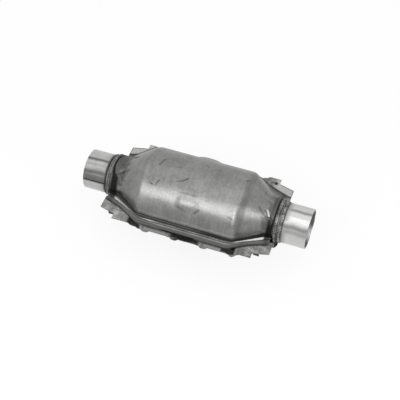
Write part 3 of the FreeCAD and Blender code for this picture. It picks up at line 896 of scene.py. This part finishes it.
def shieldCorners(x):
    look = shield
    flat = look["ribFlat"] / 2 - look["ribSoft"]
    foot = look["ribFlat"] / 2 + look["ribRamp"] + look["ribSoft"]
    raised = look["ribHeight"] * (1 - min(fade(abs(x - centre), flat, foot) for centre in look["ribs"]))
    distance = panRadius(x) + look["gap"] + raised
    level = look["level"] - raised
    first = math.radians(look["wallTilt"])
    second = math.radians(look["slantTilt"])
    low, high = look["droopEnds"]
    past = low - x if x < 0 else x - high
    droop = 1 - fade(past, 0.0, look["droopRamp"])
    sag = look["bowDrop"] * math.cos(min(abs(x - look["bowCentre"]) / look["bowReach"], 1.0) * math.pi / 2)
    rimY = (distance + level * math.sin(first)) / math.cos(first)
    scale = distance / (body["radius"] + look["gap"])
    corners = [(look["lip"], level - (look["lipDrop"] + sag / 2) * droop, 0.0),
               (rimY, level - sag, look["rimBend"])]
    for one, two, bend in ((first, second, look["wallBend"]), (second, math.pi / 2, look["floorBend"])):
        middle = (one + two) / 2
        reach = distance / math.cos((two - one) / 2)
        corners.append((reach * math.cos(middle), -reach * math.sin(middle), bend * scale))
    return corners


def sampledPath(corners, straights, bends):      # points along a rounded path, with fixed counts
    points = []
    last = Vector(corners[0][:2])
    for index, (y, z, radius) in enumerate(corners[1:], 1):
        end = here = Vector((y, z))
        arc = []
        if index < len(corners) - 1:
            back = (Vector(corners[index - 1][:2]) - here).normalized()
            ahead = (Vector(corners[index + 1][:2]) - here).normalized()
            halfAngle = math.acos(max(-1.0, min(1.0, back.dot(ahead)))) / 2
            reach = radius / math.tan(halfAngle)
            centre = here + (back + ahead).normalized() * radius / math.sin(halfAngle)
            end = here + back * reach
            firstTurn = math.atan2(end.y - centre.y, end.x - centre.x)
            far = here + ahead * reach
            change = math.atan2(far.y - centre.y, far.x - centre.x) - firstTurn
            change = (change + math.pi) % (2 * math.pi) - math.pi
            turns = [firstTurn + change * step / bends for step in range(1, bends + 1)]
            arc = [centre + Vector((math.cos(turn), math.sin(turn))) * radius for turn in turns]
        count = straights[index - 1]
        points += [last.lerp(end, step / count) for step in range(count)] + [end] + arc[:-1]
        last = arc[-1] if arc else end
    return [tuple(point) for point in points]


def shieldSection(x):      # points across the shield at one station, from lip to lip
    look = shield
    corners = shieldCorners(x)
    lipY, lipZ = corners[0][:2]
    rimY, rimZ = corners[1][:2]
    past = max(abs(x) - look["step"], 0.0)
    edge = look["stepWidth"] - look["stepTaper"] * past / (look["end"] - look["step"])
    edgeZ = lipZ + (rimZ - lipZ) * (lipY - edge) / (lipY - rimY)
    floor = (0.0, corners[-1][1], 0.0)
    shares = [index / look["plateColumns"] for index in range(look["plateColumns"])]
    half = [(lipY + (edge - lipY) * share, lipZ + (edgeZ - lipZ) * share) for share in shares]
    half += sampledPath([(edge, edgeZ, 0.0)] + corners[1:] + [floor], look["straights"], look["bends"])
    return half + [(-y, z) for y, z in half[-2::-1]]


def makeShield():
    look = shield
    sections = [shieldSection(x) for x in shieldRows]
    total = len(sections[0])

    def place(row, column):      # the thin edges are wavy, most of all beside the body
        y, z = sections[row][column]
        x = shieldRows[row]
        side = 1 if y > 0 else -1
        edgeShare = max(1 - min(column, total - 1 - column) / look["edgeColumns"], 0.0)
        wave = waver(x, side * 30, 2, 13, 11.0) * 0.65 + waver(x, side * 30, 5, 5, 12.0) * 0.25
        bent = wave * edgeShare * (1 - 0.55 * fade(abs(x), 86, 96))
        pull = min(waver(x, side * 20, 9, 10, 13.0) * 0.5 - 0.15, 0.0) * edgeShare
        return (x, y + side * pull, z + min(bent, 0.3))

    def sheetMarks(x, y, column, onPlate, past):      # shadow at the wide flange, the cut edges and the pan
        dark = max(bump(past, 0.0, 2.2) * 0.75, bump(past, 1.6, 2.6) * (y > 0)) * onPlate
        rimIn = column
        if abs(x) > look["step"]:
            rimIn = min(column - look["plateColumns"], (look["end"] - abs(x)) / 0.6)
        dark = max(dark, (1 - fade(rimIn, 0.0, 1.6)) * (0.75 if y > 0 else 0.6))
        if past < -1:
            dark = max(dark, 0.45)
        return max(dark, (1 - fade(abs(y), 60, 68)) * 0.35 * (1 - onPlate))

    def nearMarks(x, y, onPlate, past):      # crumpled plates, and painted shade in the gap below the flange
        outside = fade(past, -4.5, -2.0)
        crumple = 0.3 + 0.5 * waver(x, y, 3, 7, 24.0) + 0.3 * waver(x, y, 3, 3, 26.0)
        dark = max(crumple * fade(abs(x), 70, 84), 0.42 * outside * (1 - onPlate))
        # painted shade: black where the lip bows down, but for its outermost edge, and in the black gaps
        bowed = fade(x, -28, -10) * (1 - fade(x, 22, 34))
        outermost = fade(abs(y), 72.0, 72.6) * (1 - 0.8 * fade(x, -12, -8) * (1 - fade(x, 12, 18)))
        dark = max(dark, bowed * (1 - 0.95 * outermost))
        for low, high in look["blackGaps"]:
            within = fade(x, low - 2, low + 2) * (1 - fade(x, high - 2, high + 2))
            dark = max(dark, within * outside * (1 - 0.7 * fade(abs(y), 72.2, 72.8)))
        return dark

    def farMarks(x, y):
        if x > 70:      # darker beside the outlet plate, and its hole painted as a dark spot of shade
            darkening = 0.55 * (1 - fade(x, 94, 98)) * (0.9 + 0.7 * waver(x, y, 5, 4, 25.0))
            hole = math.hypot(x - look["holeX"], y - look["holeY"])
            return max(darkening, 1 - fade(hole, look["holeRadius"] * 0.9, look["holeRadius"] * 1.5))
        if x < -80:      # a painted shadow line across the inlet plate
            (x0, y0), (x1, y1) = look["shadowLine"]
            line = y0 + (y1 - y0) * (x - x0) / (x1 - x0)
            return bump(y, line, look["shadowReach"]) * 0.85 * fade(x, -114, -110)
        return 0.0

    def paint(row, column, point):
        x, y, z = point
        onPlate = fade(abs(x), 80, 92)
        past = abs(y) - softWidth(lowerFlange, x)      # beyond the wide flange's edge
        dark = sheetMarks(x, y, min(column, total - 1 - column), onPlate, past)
        dark = max(dark, nearMarks(x, y, onPlate, past) if y < 0 else farMarks(x, y))
        return {"dark": min(dark, 1.0)}

    def dropped(row, column):      # the corner outside the step
        middle = (shieldRows[row] + shieldRows[row + 1]) / 2
        return abs(middle) > look["step"] and min(column, total - 2 - column) < look["plateColumns"]

    pan = wrapSheet(len(shieldRows), total, place, paint, dropped)
    thicken(pan, look["sheet"])
    addLugs(pan)
    roundEdges(pan, 0.22, 62)
    smooth(pan, 40)
    finishPiece(pan, "ribbed_heat_shield", finishes["shield"], "shield_sheet", "heat_shield")


lugs = {"length": 8.0, "drop": 5.0, "inset": 3.2, "sheet": 1.0, "gap": 1.0, "overlap": 0.4, "dark": 0.9}


def addLugs(pan):      # small tabs folded down beside the steps
    look = lugs
    before = len(pan.data.vertices)
    pick(pan)
    bpy.ops.object.mode_set(mode="EDIT")
    bpy.ops.mesh.select_all(action="DESELECT")
    size = (look["length"] * mm, look["sheet"] * mm, (look["drop"] + look["overlap"]) * mm)
    z = axisHeight + (shield["level"] - look["drop"] / 2 + look["overlap"] / 2) * mm
    for along in (-1, 1):
        for across in (-1, 1):
            x = along * (shield["step"] + look["gap"] + look["length"] / 2)
            y = across * (shield["stepWidth"] - look["inset"] + look["sheet"] / 2)
            bpy.ops.mesh.primitive_cube_add(size=1, location=(x * mm, y * mm, z), scale=size)
            bpy.ops.mesh.select_all(action="DESELECT")
    bpy.ops.object.mode_set(mode="OBJECT")
    # the tabs are painted dark as shade, since they face down
    marks = pan.data.attributes["dark"].data
    for index in range(before, len(marks)):
        marks[index].value = look["dark"]


# Studio: one floor, one pale world and soft lamps

view = {"azimuth": 19.74, "elevation": 50.96, "distance": 1.3277, "lens": 84.73,
        "aimX": 0.0171, "shiftX": -0.0232, "shiftY": 0.0028}


def addCamera():
    azimuth = math.radians(view["azimuth"])
    elevation = math.radians(view["elevation"])
    away = Vector((math.sin(azimuth) * math.cos(elevation), -math.cos(azimuth) * math.cos(elevation),
                   math.sin(elevation)))
    data = bpy.data.cameras.new("camera")
    data.lens = view["lens"]
    data.sensor_width = 36.0
    data.shift_x = view["shiftX"]
    data.shift_y = view["shiftY"]
    camera = bpy.data.objects.new("camera", data)
    bpy.context.scene.collection.objects.link(camera)
    camera.location = Vector((view["aimX"], 0, axisHeight)) + away * view["distance"]
    camera.rotation_euler = (-away).to_track_quat("-Z", "Y").to_euler()
    bpy.context.scene.camera = camera


# Each lamp: where it stands, its width and height, and how bright its face is
lampList = {
    "overheadBox": {"place": (0.15, -0.02, 1.30), "size": (1.6, 2.0), "face": 0.25},
    "nearBox": {"place": (-0.27, -0.93, 0.79), "size": (0.30, 0.70), "face": 4.6},
    "nearCore": {"place": (-0.175, -1.02, 0.71), "size": (0.22, 0.26), "face": 3.4},
    "outletTopBox": {"place": (0.03, -0.36, 1.23), "size": (0.12, 0.95), "face": 1.5},
    "outletBox": {"place": (1.04, -0.46, 0.55), "size": (0.26, 0.30), "face": 6.5},
}


def addLamps():
    for name, lamp in lampList.items():
        data = bpy.data.lights.new(name, "AREA")
        data.shape = "RECTANGLE"
        data.size, data.size_y = lamp["size"]
        data.energy = lamp["face"] * math.pi * data.size * data.size_y
        thing = bpy.data.objects.new(name, data)
        bpy.context.scene.collection.objects.link(thing)
        thing.location = lamp["place"]
        aim = Vector((0, 0, axisHeight)) - Vector(lamp["place"])
        thing.rotation_euler = aim.to_track_quat("-Z", "Y").to_euler()


worldLook = {"diffuse": 0.9}


def addWorld():      # white where it is seen, a little less where it lights the object
    world = bpy.data.worlds.new("world")
    bpy.context.scene.world = world
    sheet = NodeSheet(world)
    inputs = {"Value": sheet.shownRays(), "To Min": worldLook["diffuse"], "To Max": 1.0}
    background = sheet.nodes["Background"]
    sheet.feed(background.inputs["Color"], (1, 1, 1, 1))
    sheet.feed(background.inputs["Strength"], sheet.node("ShaderNodeMapRange", {}, inputs)["Result"])


floorLook = {"size": 8.0, "below": 0.0002, "grey": (0.85, 0.85, 0.85, 1), "shadow": 0.13}


def addFloor():      # mostly white by itself, with a share that still takes the object's shadow
    deselectAll()
    bpy.ops.mesh.primitive_plane_add(size=floorLook["size"], location=(0, 0, -floorLook["below"]))
    floor = bpy.context.object
    floor.name = "studio_floor"
    material = bpy.data.materials.new("floor_white")
    sheet = NodeSheet(material)
    sheet.nodes.remove(sheet.nodes["Principled BSDF"])
    diffuse = sheet.node("ShaderNodeBsdfDiffuse", {}, {"Color": floorLook["grey"]})[0]
    glow = sheet.node("ShaderNodeEmission", {}, {"Color": (1, 1, 1, 1), "Strength": 1.0})[0]
    share = sheet.shownRays() * (1 - floorLook["shadow"])
    mix = sheet.node("ShaderNodeMixShader", {}, {"Fac": share, 1: diffuse, 2: glow})[0]
    sheet.feed(sheet.nodes["Material Output"].inputs["Surface"], mix)
    floor.data.materials.append(material)


addCamera()
makeUpperShell()
makeLowerShell()
makePipe("inlet")
makePipe("outlet")
for bead in beadList:
    makeBead(*bead)
makeShield()

cadFinishes = {"collar": ("inlet_collar", "outlet_collar", "brick_spacer", "shield_spot_welds"),
               "brick": ("front_brick", "rear_brick"), "mat": ("front_mat", "rear_mat"),
               "knit": ("front_brick_inlet_seal", "front_brick_middle_seal", "rear_brick_middle_seal",
                        "rear_brick_outlet_seal")}
for finishName, nodeNames in cadFinishes.items():
    for nodeName in nodeNames:
        materials = frame["nodes"][nodeName].data.materials
        materials.clear()
        materials.append(finishes[finishName])
print("pieces ready")

addLamps()
addWorld()
addFloor()
print("camera, lamps and floor ready")

bpy.context.scene.view_settings.view_transform = "Standard"
